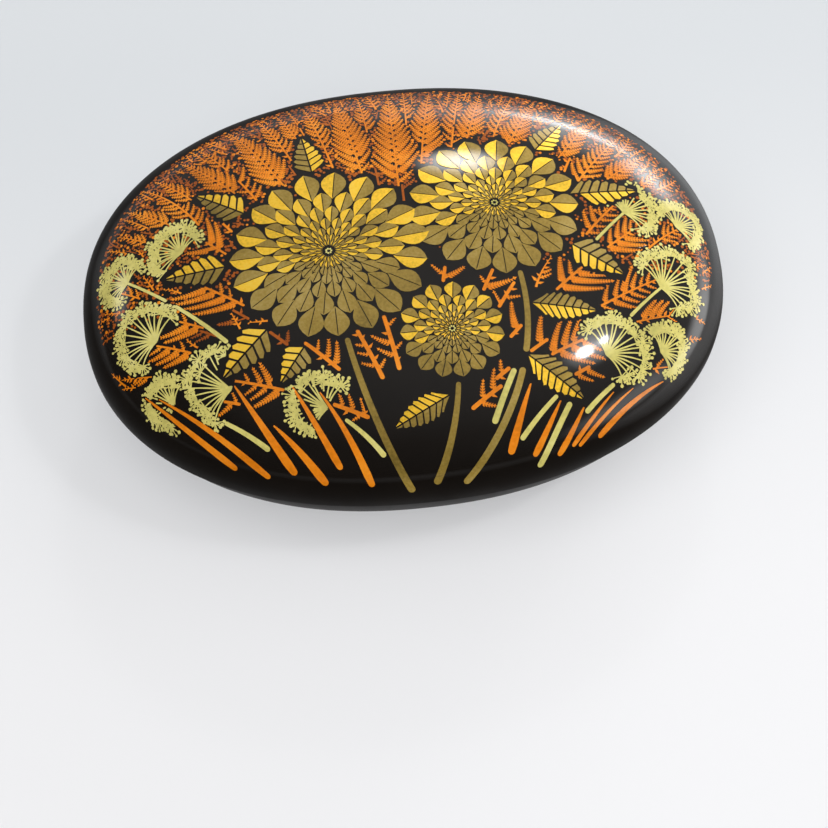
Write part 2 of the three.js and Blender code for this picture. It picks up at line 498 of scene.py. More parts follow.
def gloss_group():
    """Wiped lacquer: faint smears in the gloss, a slow ripple and fine dust."""
    given_values = {"Smoothest": 0.03, "Roughest": 0.1}
    group, given, out = new_group("wiped_gloss", given_values, ["Roughness", "Height"])
    if given is None:
        return group
    place = object_place(group)
    rough = smears(group, place, given.outputs["Smoothest"], given.outputs["Roughest"])
    ripple = noise_value(group, place, 120.0, 1.0)
    dust = map_range(group, noise_value(group, place, 2600.0, 1.0), 0.7, 0.8, 0.0, 0.05)
    group.links.new(rough, out.inputs["Roughness"])
    group.links.new(math_value(group, "ADD", ripple, dust), out.inputs["Height"])
    return group


def mottle_group():
    """Printed ink: cover that varies in soft clouds and in a fine screen."""
    given_values = {"Cloud Scale": 110.0, "Screen Scale": 1400.0}
    group, given, out = new_group("ink_mottle", given_values, ["Cover"])
    if given is None:
        return group
    place = object_place(group)
    cloud = noise_value(group, place, given.outputs["Cloud Scale"], 4.0, 0.6)
    screen = noise_value(group, place, given.outputs["Screen Scale"], 2.0)
    cover = math_value(group, "ADD", cloud, math_value(group, "MULTIPLY", screen, 0.4))
    group.links.new(math_value(group, "SUBTRACT", cover, 0.2), out.inputs["Cover"])
    return group


def pile_group():
    """Short pile: fine tufts, and the nap lying in patches."""
    given_values = {"Tuft Scale": 3200.0, "Nap Scale": 55.0}
    group, given, out = new_group("short_pile", given_values, ["Tone", "Height"])
    if given is None:
        return group
    place = object_place(group)
    tuft = noise_value(group, place, given.outputs["Tuft Scale"], 2.0, 0.7)
    nap = noise_value(group, place, given.outputs["Nap Scale"], 3.0, 0.55)
    tone = math_value(group, "ADD", math_value(group, "MULTIPLY", tuft, 0.45), nap)
    group.links.new(math_value(group, "SUBTRACT", tone, 0.22), out.inputs["Tone"])
    group.links.new(tuft, out.inputs["Height"])
    return group


def coat_group():
    """Clear coat: thinner in wiped smears, and none below a height that varies round the lid."""
    given_values = {"Bare Below": -1.0, "Back Rise": 0.0, "End Drop": 0.0, "Soft Edge": 0.0012, "Most": 1.0}
    group, given, out = new_group("clear_coat", given_values, ["Cover"])
    if given is None:
        return group
    place = object_place(group)
    split = add_node(group, "ShaderNodeSeparateXYZ", {"Vector": place}).outputs
    above = math_value(group, "SUBTRACT", split["Z"], given.outputs["Bare Below"])
    for axis, low, high, change, operation in (
        ("Y", 0.004, 0.032, "Back Rise", "SUBTRACT"),
        ("X", 0.022, 0.05, "End Drop", "ADD"),
    ):
        near = map_range(group, split[axis], low, high, smooth=True)
        step = math_value(group, "MULTIPLY", near, given.outputs[change])
        above = math_value(group, operation, above, step)
    span = {0: above, 1: given.outputs["Soft Edge"]}
    part = add_node(group, "ShaderNodeMath", span, operation="DIVIDE", use_clamp=True).outputs[0]
    cover = math_value(group, "MULTIPLY", smears(group, place, 1.0, 0.86), part)
    group.links.new(math_value(group, "MULTIPLY", cover, given.outputs["Most"]), out.inputs["Cover"])
    return group


def new_finish(name):
    """A material with a Principled shader, or the one already made by that name."""
    if name in bpy.data.materials:
        return bpy.data.materials[name], None, None
    material = bpy.data.materials.new(name)
    material.use_nodes = True
    tree = material.node_tree
    return material, tree, tree.nodes["Principled BSDF"]


def set_inputs(shader, values):
    for name, value in values.items():
        shader.inputs[name].default_value = value


def ramp(tree, value, stops):
    """Colours in linear steps along a value."""
    made = add_node(tree, "ShaderNodeValToRGB", {"Fac": value})
    elements = made.color_ramp.elements
    while len(elements) < len(stops):
        elements.new(0.5)
    for element, (position, colour) in zip(elements, stops):
        element.position = position
        element.color = (*colour, 1.0)
    return made.outputs["Color"]


def shaded(colour, share):
    return tuple(min(1.0, part * share) for part in colour)


def place_gloss(tree, shader, smoothest, roughest, strength):
    """Puts the wiped gloss on a shader's roughness and normal."""
    gloss = group_node(tree, gloss_group(), {"Smoothest": smoothest, "Roughest": roughest})
    tree.links.new(gloss.outputs["Roughness"], shader.inputs["Roughness"])
    place_bump(tree, shader, gloss.outputs["Height"], strength, 0.4 * MM)


def place_coat(tree, shader, weight, roughness, bare=None):
    """Puts a clear coat on a shader, which can be left off below a height. What lies under it is matt."""
    coat = group_node(tree, coat_group(), {"Most": weight, **(bare or {})})
    tree.links.new(coat.outputs["Cover"], shader.inputs["Coat Weight"])
    set_inputs(shader, {"Specular IOR Level": 0.02, "Coat IOR": 1.5, "Coat Roughness": roughness})


def lid_coat(tree, shader):
    """The lid's clear gloss, over lacquer and print alike. It ends above the rim."""
    shell = settings().shell
    bare = {
        "Bare Below": LID_LOW.z + shell.lid_band + shell.bare_rim,
        "Back Rise": shell.bare_back,
        "End Drop": shell.coated_end,
        "Soft Edge": shell.coat_edge,
    }
    place_coat(tree, shader, 1.0, settings().finish.lid_gloss, bare)


def satin_coat(tree, shader):
    """The thin, dull coat of the base and its collar."""
    finish = settings().finish
    place_coat(tree, shader, finish.base_coat, finish.base_gloss)


# Lacquer and ink under the clear coat: least and most roughness, and strength of the relief
MATT_GROUND = (0.4, 0.55, 0.05)


def lacquer_finish(name, coat):
    """Black lacquer under a clear coat."""
    material, tree, shader = new_finish(name)
    if shader is None:
        return material
    ground = settings().finish.lacquer
    depth = noise_value(tree, object_place(tree), 160.0, 3.0)
    colour = ramp(tree, depth, [(0.3, shaded(ground, 0.85)), (0.7, shaded(ground, 1.2))])
    tree.links.new(colour, shader.inputs["Base Color"])
    place_gloss(tree, shader, *MATT_GROUND)
    coat(tree, shader)
    return material


def ink_finish(name, colour, dark, light):
    """Opaque ink under the lid's clear gloss."""
    material, tree, shader = new_finish(name)
    if shader is None:
        return material
    mottle = group_node(tree, mottle_group())
    shades = [(0.3, shaded(colour, dark)), (0.52, tuple(colour)), (0.75, light)]
    tree.links.new(ramp(tree, mottle.outputs["Cover"], shades), shader.inputs["Base Color"])
    place_gloss(tree, shader, *MATT_GROUND)
    lid_coat(tree, shader)
    return material


def foil_finish(name, colour, light, roughness):
    """Metal foil, brushed flat, under the lid's clear gloss."""
    material, tree, shader = new_finish(name)
    if shader is None:
        return material
    mottle = group_node(tree, mottle_group(), {"Cloud Scale": 75.0, "Screen Scale": 2200.0})
    shades = [(0.3, shaded(colour, 0.6)), (0.5, tuple(colour)), (0.78, light)]
    tree.links.new(ramp(tree, mottle.outputs["Cover"], shades), shader.inputs["Base Color"])
    set_inputs(shader, {"Metallic": 0.4})
    place_gloss(tree, shader, roughness, roughness + 0.12, 0.08)
    lid_coat(tree, shader)
    return material


def velvet_finish():
    material, tree, shader = new_finish("red_velvet")
    if shader is None:
        return material
    colour = settings().finish.velvet
    pile = group_node(tree, pile_group())
    shades = [(0.3, shaded(colour, 0.45)), (0.5, tuple(colour)), (0.75, shaded(colour, 1.7))]
    tree.links.new(ramp(tree, pile.outputs["Tone"], shades), shader.inputs["Base Color"])
    place_bump(tree, shader, pile.outputs["Height"], 0.8, 0.3 * MM)
    set_inputs(shader, {"Roughness": 1.0, "Specular IOR Level": 0.0})
    set_inputs(shader, {"Sheen Weight": 1.0, "Sheen Roughness": 0.3, "Sheen Tint": (1.0, 0.22, 0.25, 1.0)})
    return material


def felt_finish():
    material, tree, shader = new_finish("black_felt")
    if shader is None:
        return material
    colour = settings().finish.felt
    pile = group_node(tree, pile_group(), {"Tuft Scale": 1500.0, "Nap Scale": 240.0})
    shades = [(0.25, shaded(colour, 0.5)), (0.8, shaded(colour, 2.6))]
    tree.links.new(ramp(tree, pile.outputs["Tone"], shades), shader.inputs["Base Color"])
    place_bump(tree, shader, pile.outputs["Height"], 0.7, 0.3 * MM)
    set_inputs(shader, {"Roughness": 1.0, "Specular IOR Level": 0.1, "Sheen Weight": 0.25})
    return material


def card_finish():
    material, tree, shader = new_finish("pulp_card")
    if shader is None:
        return material
    colour = settings().finish.card
    fibre = noise_value(tree, object_place(tree), 900.0, 5.0, 0.7)
    shades = [(0.3, shaded(colour, 0.75)), (0.6, tuple(colour)), (0.75, shaded(colour, 1.3))]
    tree.links.new(ramp(tree, fibre, shades), shader.inputs["Base Color"])
    place_bump(tree, shader, fibre, 0.3, 0.1 * MM)
    set_inputs(shader, {"Roughness": 0.9})
    return material


# Where the floor's painted shade darkens it, from front to back, and how far from the box its own glow
# grows
FLOOR_TURN = (-0.06, 0.07)
GLOW_REACH = (0.3, 1.4)


def floor_finish():
    """A pale floor with painted shade that turns it a little darker behind the box. Part of its colour
    needs no light.
    """
    material, tree, shader = new_finish("pale_floor")
    if shader is None:
        return material
    stage = settings().stage
    place = object_place(tree)
    split = add_node(tree, "ShaderNodeSeparateXYZ", {"Vector": place}).outputs
    # The mask of the painted shade behind the box
    behind = map_range(tree, split["Y"], *FLOOR_TURN, smooth=True)
    glow = stage.floor_glow
    lit = [(0.0, shaded(stage.floor, 1 - glow)), (1.0, shaded(stage.floor_shaded_behind, 1 - glow))]
    own = [(0.0, tuple(stage.floor)), (1.0, tuple(stage.floor_shaded_behind))]
    tree.links.new(ramp(tree, behind, lit), shader.inputs["Base Color"])
    tree.links.new(ramp(tree, behind, own), shader.inputs["Emission Color"])
    set_inputs(shader, {"Roughness": 0.9, "Specular IOR Level": 0.1})
    path = add_node(tree, "ShaderNodeLightPath").outputs
    straight = math_value(tree, "MAXIMUM", path["Is Camera Ray"], path["Is Glossy Ray"])
    seen = math_value(tree, "MAXIMUM", straight, path["Is Transmission Ray"])
    away = add_node(tree, "ShaderNodeVectorMath", {0: place}, operation="LENGTH").outputs["Value"]
    own_share = map_range(tree, away, *GLOW_REACH, glow, glow + stage.far_glow, smooth=True)
    tree.links.new(math_value(tree, "MULTIPLY", seen, own_share), shader.inputs["Emission Strength"])
    return material


def dress(piece, body, material, nodes=()):
    """Gives a piece its finish, its body and the solids that it stands for."""
    piece.data.materials.clear()
    piece.data.materials.append(material)
    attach(piece, body)
    if nodes:
        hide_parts(*nodes)


# The print, drawn flat in millimetres. What is drawn first stands in front, with a bare line round it.

PRINT_HALF_LENGTH = 61.0
PRINT_HALF_WIDTH = 46.0
INKS = ("rust", "orange", "straw", "bronze", "gold")
# Grid that keeps which ground is covered: side of a cell, and spare cells round the print
CELL = 0.2
SPARE_CELLS = 24
# Bare lines left round what is drawn
BLOSSOM_GAP = 0.35
LEAF_GAP = 0.28
GRASS_GAP = 0.2
FINE_GAP = 0.14
FERNLET_GAP = 0.06
# Steps along lines
LINE_STEP = 0.6
BRANCH_STEP = 0.5
FROND_STEP = 0.35

# Blossoms: place, radius, petals in each ring, turn
BLOSSOMS = ((-12.0, 3.0, 14.9, 19, 0.1), (15.5, 9.5, 12.2, 17, 0.3), (6.0, -13.5, 9.0, 15, 0.0))
# Leaves: place, heading in degrees, length, width
LEAVES = (
    (-20.5, -7.5, 222, 14.0, 5.6),
    (-15.0, -10.6, 232, 11.0, 4.8),
    (-25.5, 3.0, 180, 13.5, 5.2),
    (-22.5, 11.0, 143, 13.0, 5.0),
    (-13.0, 16.8, 98, 11.5, 4.6),
    (24.5, 2.5, -36, 13.0, 5.2),
    (26.5, 10.5, 6, 13.5, 5.0),
    (22.0, 18.5, 50, 11.5, 4.6),
    (17.6, -19.0, -42, 11.5, 4.6),
    (19.2, -10.0, -10, 10.5, 4.4),
    (4.4, -24.6, 206, 10.0, 4.2),
)
# Flower stems: from below the flower to the foot of the spray
FLOWER_STEMS = (
    ((-11.0, -10.8), (-9.0, -26.0), (-2.6, -40.6)),
    ((6.0, -23.0), (5.0, -31.0), (1.4, -38.4)),
    ((17.5, -1.8), (21.5, -22.0), (5.2, -40.4)),
)
# Seed heads: foot of the stem, middle of the head, radius
SEED_HEADS = (
    ((-4.6, -38.0), (-15.0, -24.5), 5.4),
    ((-11.0, -39.5), (-30.0, -19.0), 7.2),
    ((-22.0, -34.5), (-40.0, -19.5), 4.6),
    ((-18.0, -38.4), (-41.5, -8.0), 7.2),
    ((-14.5, -36.8), (-46.0, 4.5), 4.8),
    ((-7.6, -40.8), (-36.0, 7.5), 5.4),
    ((11.4, -39.8), (30.5, -19.5), 7.2),
    ((23.0, -34.0), (40.5, -19.0), 4.6),
    ((19.0, -37.8), (41.5, -7.5), 7.2),
    ((15.2, -36.4), (46.5, 5.0), 4.8),
    ((8.2, -38.2), (37.0, 7.0), 5.8),
)
# Where the ferns spring from
FERN_FOOT = (0.0, -30.0)
# Rings of petals, in shares of the blossom's radius: foot and tip of the first, and where no more start
PETAL_FOOT = 0.06
PETAL_TIP = 0.15
LAST_FOOT = 0.76
# How much farther out the tips of each ring lie than the last
PETAL_GROWTH = 1.32
# A leaf's cells on each side, and half of the bare lines between them, in shares of its length and width
LEAF_CELLS = 8
HALF_VEIN = 0.013
HALF_MIDRIB = 0.03
# Outer edge of a cell, from tip to foot: place along it, and how far it stands out
LEAF_TOOTH = ((1.0, 0.95), (0.7, 1.08), (0.0, 0.86))
# Rays of a seed head, and seeds on each
RAYS = 17
SEEDS = 9
# Grass: blades, place of the first, spacing, width
FRONT_GRASS = (15, -32.0, 4.6, 1.9)
BACK_GRASS = (26, -31.0, 2.5, 1.3)
# Fans of ferns: ink, fronds, first and last heading in degrees, start, spread, widest place
FRONT_FANS = (
    ("orange", 17, -13, 193, 0.16, 7.2, 0.5),
    ("orange", 18, -20, 200, 0.5, 5.6, 0.3),
    ("orange", 31, -24, 204, 0.72, 3.2, 0.25),
)
BACK_FAN = ("rust", 25, -8, 188, 0.3, 5.0, 0.4)
# Small fronds in the gaps: ink, tries, lowest heading, shortest, longest
FRONT_FERNLETS = ("orange", 3200, -0.6, 2.4, 8.0)
BACK_FERNLETS = ("rust", 4000, -0.1, 1.3, 4.0)
# Specks in what is left: ink, tries, lowest heading, gap
SPECKS = (("orange", 2500, -0.1, 0.12), ("rust", 16000, -0.1, 0.02))
# Share of the bake's width that the unseen backs of the inks take, in a corner that the oval leaves free
BACK_SHARE = 0.1


class FlatPrint:
    """The print's points and faces for each ink, and the ground that is already covered"""

    # Half width from which a line counts as broad
    THIN = 0.21

    def __init__(self, power, edge_share):
        self.power = power
        self.edge_share = edge_share
        self.points = {ink: [] for ink in INKS}
        self.faces = {ink: [] for ink in INKS}
        columns = int(2 * PRINT_HALF_LENGTH / CELL) + 2 * SPARE_CELLS
        rows = int(2 * PRINT_HALF_WIDTH / CELL) + 2 * SPARE_CELLS
        self.taken = np.zeros((columns, rows), bool)
        self.fresh = []
        self.discs = {}

    def share(self, x, y):
        across = (abs(x) / PRINT_HALF_LENGTH) ** self.power
        along = (abs(y) / PRINT_HALF_WIDTH) ** self.power
        return (across + along) ** (1 / self.power)

    def reach(self, heading):
        """How far the dome's edge is from the middle along a heading."""
        return 1 / self.share(math.cos(heading), math.sin(heading))

    def cell(self, x, y):
        column = int((x + PRINT_HALF_LENGTH) / CELL) + SPARE_CELLS
        return column, int((y + PRINT_HALF_WIDTH) / CELL) + SPARE_CELLS

    def free(self, x, y):
        if self.share(x, y) > self.edge_share:
            return False
        return not self.taken[self.cell(x, y)]

    def settle(self, gap):
        """Covers the ground under what was drawn since the last call, with a bare line round it."""
        for x, y, radius in self.fresh:
            reach = max(1, round((radius + gap) / CELL))
            if reach not in self.discs:
                grid = np.arange(-reach, reach + 1)
                self.discs[reach] = grid[:, None] ** 2 + grid[None, :] ** 2 <= reach**2 + 0.5
            column, row = self.cell(x, y)
            window = self.taken[column - reach : column + reach + 1, row - reach : row + reach + 1]
            window |= self.discs[reach]
        self.fresh.clear()

    def add(self, ink, corners):
        first = len(self.points[ink])
        self.points[ink].extend(corners)
        self.faces[ink].append(tuple(range(first, first + len(corners))))

    def room(self, line, width):
        """Which points of a line are clear, with room at both sides where the line is broad."""
        clear = []
        for place, (x, y) in enumerate(line):
            ux, uy = heading_at(line, place)
            half = width(place) / 2
            spots = [(x, y)]
            if half > self.THIN:
                spots += [(x - uy * half, y + ux * half), (x + uy * half, y - ux * half)]
            clear.append(all(self.free(*spot) for spot in spots))
        return clear

    def stroke(self, ink, line, widths, least=2):
        """A line of changing width, left out where it has no room or a run is too short.

        Returns which of its points were drawn.
        """
        clear = self.room(line, widths.__getitem__) + [False]
        drawn = [False] * len(line)
        first = 0
        while first < len(line):
            last = first
            while clear[last]:
                last += 1
            if last - first >= least:
                self.ribbon(ink, line, widths, first, last)
                drawn[first:last] = [True] * (last - first)
            first = max(last, first + 1)
        return drawn

    def ribbon(self, ink, line, widths, first, last):
        rows = []
        for place in range(first, last):
            rows.append((*line[place], *heading_at(line, place), widths[place] / 2))
        rows = self.round_end(rows[0], -1)[::-1] + rows + self.round_end(rows[-1], 1)
        points, faces = self.points[ink], self.faces[ink]
        start = len(points)
        for x, y, ux, uy, half in rows:
            points.extend([(x - uy * half, y + ux * half), (x + uy * half, y - ux * half)])
            self.fresh.append((x, y, half))
        for left in range(start, len(points) - 2, 2):
            faces.append((left + 1, left + 3, left + 2, left))

    def round_end(self, row, way):
        """Rows that round the end of a broad line."""
        x, y, ux, uy, half = row
        if half < self.THIN:
            return []
        rows = []
        for turn in (0.5, 1.0, 1.4):
            out = way * half * math.sin(turn)
            rows.append((x + ux * out, y + uy * out, ux, uy, half * math.cos(turn)))
        return rows

    def kite(self, ink, x, y, heading, length, width):
        """A pointed leaflet."""
        c, s = math.cos(heading) * length, math.sin(heading) * length
        side = width / (2 * length)
        mx, my = x + c * 0.42, y + s * 0.42
        if not (self.free(mx, my) and self.free(x + c, y + s)):
            return
        left, right = (mx - s * side, my + c * side), (mx + s * side, my - c * side)
        self.add(ink, [(x, y), right, (x + c, y + s), left])
        self.fresh.extend([(mx, my, width / 2), (x + c * 0.85, y + s * 0.85, width / 4)])

    def dot(self, ink, x, y, radius):
        if not self.free(x, y):
            return
        turns = [k * math.pi / 3 for k in range(6)]
        self.add(ink, [(x + radius * math.cos(t), y + radius * math.sin(t)) for t in turns])
        self.fresh.append((x, y, radius))

    def halves(self, inks, x, y, heading, length, width, gap, slim, steps=9):
        """A petal in two shades, pointed at its foot, with a bare line down its middle."""
        c, s = math.cos(heading), math.sin(heading)
        for side, ink in ((1, inks[0]), (-1, inks[1])):
            rows = []
            for step in range(steps + 1):
                along = step / steps
                half = width / 2 * math.sin(math.pi * along**slim) ** 0.8
                inner = min(gap / 2, half)
                rows.append([(along * length, side * inner), (along * length, side * half)])
                self.fresh.append((x + c * along * length, y + s * along * length, half))
            for near, far in zip(rows, rows[1:]):
                corners = list(dict.fromkeys([near[0], far[0], far[1], near[1]]))
                if side < 0:
                    corners.reverse()
                if len(corners) > 2:
                    self.add(ink, [(x + c * a - s * b, y + s * a + c * b) for a, b in corners])


def heading_at(line, place):
    """Unit vector along a line at one of its points."""
    ax, ay = line[max(place - 1, 0)]
    bx, by = line[min(place + 1, len(line) - 1)]
    run = math.hypot(bx - ax, by - ay) or 1.0
    return (bx - ax) / run, (by - ay) / run


def taper(start, end, count):
    return [start + (end - start) * k / max(1, count - 1) for k in range(count)]


def curved_line(x, y, heading, length, bend, step):
    """Points along an arc, with the heading at each."""
    count = max(2, math.ceil(length / step))
    line, headings = [(x, y)], [heading]
    for _ in range(count):
        heading += bend / count
        x += math.cos(heading) * length / count
        y += math.sin(heading) * length / count
        line.append((x, y))
        headings.append(heading)
    return line, headings


def bent_line(start, control, end, step):
    """Points along a quadratic curve."""
    run = math.dist(start, control) + math.dist(control, end)
    count = max(3, math.ceil(run / step))
    line = []
    for k in range(count + 1):
        t = k / count
        a, b, c = (1 - t) ** 2, 2 * t * (1 - t), t**2
        line.append(tuple(a * p + b * q + c * r for p, q, r in zip(start, control, end)))
    return line


def draw_blossom(art, draws, x, y, radius, petals, turn):
    """Rings of two-toned petals, each ring standing in the gaps of the last. Gold and bronze halves stand
    for one foil in painted highlight and painted shade, and the lower petals of the outer rings are all
    painted shade.
    """
    inner, outer = PETAL_FOOT * radius, PETAL_TIP * radius
    ring = 0
    while inner < LAST_FOOT * radius:
        widest = inner + 0.6 * (outer - inner)
        width = 2 * math.pi * widest / petals * 0.9
        for k in range(petals):
            heading = turn + (k + 0.5 * (ring % 2)) * 2 * math.pi / petals + draws.uniform(-0.02, 0.02)
            length = (outer - inner) * draws.uniform(0.93, 1.06)
            # Gold is painted highlight, the foil catching the light, and bronze the same foil in painted
            # shade; lower petals of the outer rings are all painted shade.
            inks = ("gold", "bronze") if math.cos(heading - 2.2) > -0.1 else ("bronze", "gold")
            if math.sin(heading) < -0.35 and ring > 1:
                inks = ("bronze", "bronze")
            foot = (x + math.cos(heading) * inner, y + math.sin(heading) * inner)
            art.halves(inks, *foot, heading, length, width, 0.16, 1.25)
        inner, outer = widest + 0.14, outer * PETAL_GROWTH + 0.32
        ring += 1
    for k in range(7):
        heading = k * 2 * math.pi / 7
        art.dot("straw", x + 0.42 * math.cos(heading), y + 0.42 * math.sin(heading), 0.17)


def leaf_half(along):
    """Half of a leaf's width at a place along it, in shares of its length and width."""
    return 0.5 * math.sin(math.pi * min(0.99, 0.03 + 0.97 * along) ** 0.85) ** 0.9


def draw_leaf(art, x, y, heading, length, width):
    """A toothed leaf, with bare lines for its veins."""
    c, s = math.cos(heading), math.sin(heading)
    for side, ink in ((1, "bronze"), (-1, "gold")):
        for k in range(LEAF_CELLS):
            start, end = k / LEAF_CELLS + HALF_VEIN, (k + 1) / LEAF_CELLS - HALF_VEIN
            outline = [(start, HALF_MIDRIB), (end, HALF_MIDRIB)]
            for part, tooth in LEAF_TOOTH:
                along = start + (end - start) * part
                out = min(1.0, along + 0.15 * (1 - along))
                outline.append((out, max(0.035, leaf_half(out) * tooth)))
            corners = [(a * length, side * b * width) for a, b in outline]
            if side < 0:
                corners.reverse()
            placed = [(x + c * a - s * b, y + s * a + c * b) for a, b in corners]
            if all(art.free(*p) for p in placed):
                art.add(ink, placed)
                middle_x, middle_y = (sum(parts) / len(placed) for parts in zip(*placed))
                art.fresh.append((middle_x, middle_y, width * 0.2))
                for (ax, ay), (bx, by) in zip(placed, placed[1:] + placed[:1]):
                    art.fresh.extend([(ax, ay, 0.2), ((ax + bx) / 2, (ay + by) / 2, 0.2)])


def draw_pinna(art, ink, x, y, heading, length, bend):
    """A side branch of a frond, with leaflets on both sides. It is shortened to the room that it has."""
    line, headings = curved_line(x, y, heading, length, bend, BRANCH_STEP)
    kept = 1
    while kept < len(line) and art.free(*line[kept]):
        kept += 1
    if kept < len(line):
        length *= 0.92 * (kept - 1) / (len(line) - 1)
    if length < 0.45:
        return
    if length < 1.5:
        art.kite(ink, x, y, heading, length, 0.12 + 0.3 * length)
        return
    line, headings = line[:kept], headings[:kept]
    art.stroke(ink, line, taper(0.28, 0.14, len(line)))
    leaflet = min(1.0, 0.3 + 0.15 * length)
    for k in range(1, len(line)):
        size = leaflet * (1 - 0.62 * k / len(line))
        for side in (1, -1):
            art.kite(ink, *line[k], headings[k] + side * 0.88, size, 0.1 + size * 0.42)
    art.kite(ink, *line[-1], headings[-1], leaflet * 0.7, leaflet * 0.32)


def draw_frond(art, draws, ink, x, y, heading, length, spread, bend, widest=0.3):
    """A fern frond: a stem with side branches that shorten towards the tip."""
    line, headings = curved_line(x, y, heading, length, bend, FROND_STEP)
    drawn = art.stroke(ink, line, taper(0.3 + 0.06 * spread, 0.12, len(line)), min(8, len(line) // 2))
    tip_spacing = 0.7
    foot_spacing = tip_spacing + 0.17 * spread
    spacing = foot_spacing
    along = spacing / length
    while along < 0.985:
        for side in (1, -1):
            part = min(1.0, along + side * 0.2 * spacing / length)
            place = min(len(line) - 1, int(part * len(line)))
            narrowing = (1 - max(0.0, part - widest) / (1 - widest)) ** 0.9
            size = min(1.0, 0.35 + 0.65 * part / widest) * narrowing
            size = max(0.45, spread * size * draws.uniform(0.93, 1.07))
            lean = side * (1.1 - 0.35 * part)
            if drawn[place]:
                draw_pinna(art, ink, *line[place], headings[place] + lean, size, -side * 0.3)
        spacing = tip_spacing + (foot_spacing - tip_spacing) * min(1.0, 2.2 * (1 - along))
        along += spacing / length


def draw_fan(art, draws, ink, count, first, last, start, spread, widest):
    """Fronds from the foot of the spray to the dome's edge, every second one behind its neighbours."""
    for k in (*range(0, count, 2), *range(1, count, 2)):
        turn = math.radians(first + (last - first) * k / (count - 1)) + draws.uniform(-0.03, 0.03)
        reach = art.reach(turn) * (art.edge_share - draws.uniform(0.0, 0.03))
        tip = (math.cos(turn) * reach, math.sin(turn) * reach)
        foot = tuple(f + start * (t - f) for f, t in zip(FERN_FOOT, tip))
        heading = math.atan2(tip[1] - foot[1], tip[0] - foot[0])
        bend = -0.45 * math.cos(turn) + draws.uniform(-0.12, 0.12)
        length = math.dist(foot, tip)
        draw_frond(art, draws, ink, *foot, heading - bend / 2, length, spread, bend, widest)
        art.settle(FINE_GAP)


def draw_seed_head(art, draws, ink, foot, head, radius):
    """A stem with a fan of rays, each ending in a tuft of seeds."""
    control = (foot[0] * 0.72 + head[0] * 0.28, foot[1] * 0.42 + head[1] * 0.58)
    stem = bent_line(foot, control, head, LINE_STEP)
    heading = math.atan2(head[1] - control[1], head[0] - control[0])
    for k in range(RAYS):
        lean = (k / (RAYS - 1) - 0.5) * 3.1 + draws.uniform(-0.05, 0.05)
        length = radius * (0.76 + 0.24 * math.cos(lean)) * draws.uniform(0.8, 1.1)
        line, headings = curved_line(*head, heading + lean * 0.8, length, lean * 0.35, LINE_STEP)
        art.stroke(ink, line, taper(0.34, 0.2, len(line)))
        tip, aim = line[-1], headings[-1]
        for j in range(SEEDS):
            out = aim + (j / (SEEDS - 1) - 0.5) * 3.6 + draws.uniform(-0.12, 0.12)
            stalk, _ = curved_line(*tip, out, draws.uniform(0.9, 1.9), 0.2, LINE_STEP)
            art.stroke(ink, stalk, taper(0.2, 0.16, len(stalk)))
            art.dot(ink, *stalk[-1], draws.uniform(0.22, 0.34))
    art.stroke(ink, stem, taper(1.15, 0.45, len(stem)), 12)
    art.settle(FINE_GAP)


def draw_blade(art, draws, ink, x, y, heading, length, width):
    """A blade of grass from its foot up. It ends in a point before whatever stands in front."""
    line, _ = curved_line(x, y, heading, length, draws.uniform(-0.5, 0.5), LINE_STEP)
    clear = art.room(line, lambda place: width) + [False]
    count = clear.index(False)
    if count < 12:
        return
    widths = [width * min(1.0, 0.8 + 2 * k / count) * (1 - k / count) ** 0.6 for k in range(count)]
    art.ribbon(ink, line, widths, 0, count)


def draw_grass(art, draws, ink, x, width):
    """A blade that leans outwards, from near the front edge of the print."""
    x += draws.uniform(-0.9, 0.9)
    edge = art.edge_share * (1 - (abs(x) / PRINT_HALF_LENGTH) ** art.power) ** (1 / art.power)
    y = -PRINT_HALF_WIDTH * edge * draws.uniform(0.86, 0.98)
    heading = math.pi / 2 - x * 0.022 + draws.uniform(-0.08, 0.08)
    draw_blade(art, draws, ink, x, y, heading, draws.uniform(13, 30), width * draws.uniform(0.65, 1.0))
    art.settle(GRASS_GAP)


def draw_fernlet(art, draws, ink, x, y, heading, length):
    """A small frond for a gap. It is left out where its stem isn't clear."""
    bend = draws.uniform(-0.5, 0.5)
    line, _ = curved_line(x, y, heading, length, bend, BRANCH_STEP)
    if all(art.free(*point) for point in line):
        draw_frond(art, draws, ink, x, y, heading, length, 0.3 * length, bend)
        art.settle(FERNLET_GAP)


def any_spot(art, draws, lowest):
    """A place on the print, above a heading on both sides."""
    heading = draws.uniform(lowest, math.pi - lowest)
    reach = art.reach(heading) * draws.uniform(0.02, 0.93) ** 0.6
    return math.cos(heading) * reach, math.sin(heading) * reach


def fill_gaps(art, draws, ink, tries, lowest, shortest, longest):
    """Small fronds wherever there is room above a heading."""
    for _ in range(tries):
        x, y = any_spot(art, draws, lowest)
        lean = math.atan2(y - FERN_FOOT[1], x - FERN_FOOT[0]) + draws.uniform(-0.7, 0.7)
        draw_fernlet(art, draws, ink, x, y, lean, draws.uniform(shortest, longest))


def fill_specks(art, draws, ink, tries, lowest, gap):
    """Small dots wherever there is still room above a heading."""
    for _ in range(tries):
        art.dot(ink, *any_spot(art, draws, lowest), draws.uniform(0.16, 0.36))
        art.settle(gap)


def closed_film(faces, count):
    """Faces of a thin film: its top, its back and its sides, and which way each looks.

    The points of the back follow those of the top.
    """
    border = set()
    for face in faces:
        for edge in zip(face, face[1:] + face[:1]):
            if edge[::-1] in border:
                border.remove(edge[::-1])
            else:
                border.add(edge)
    back = [tuple(corner + count for corner in reversed(face)) for face in faces]
    sides = [(b, a, a + count, b + count) for a, b in sorted(border)]
    return faces + back + sides, [1] * len(faces) + [-1] * len(back) + [1] * len(sides)


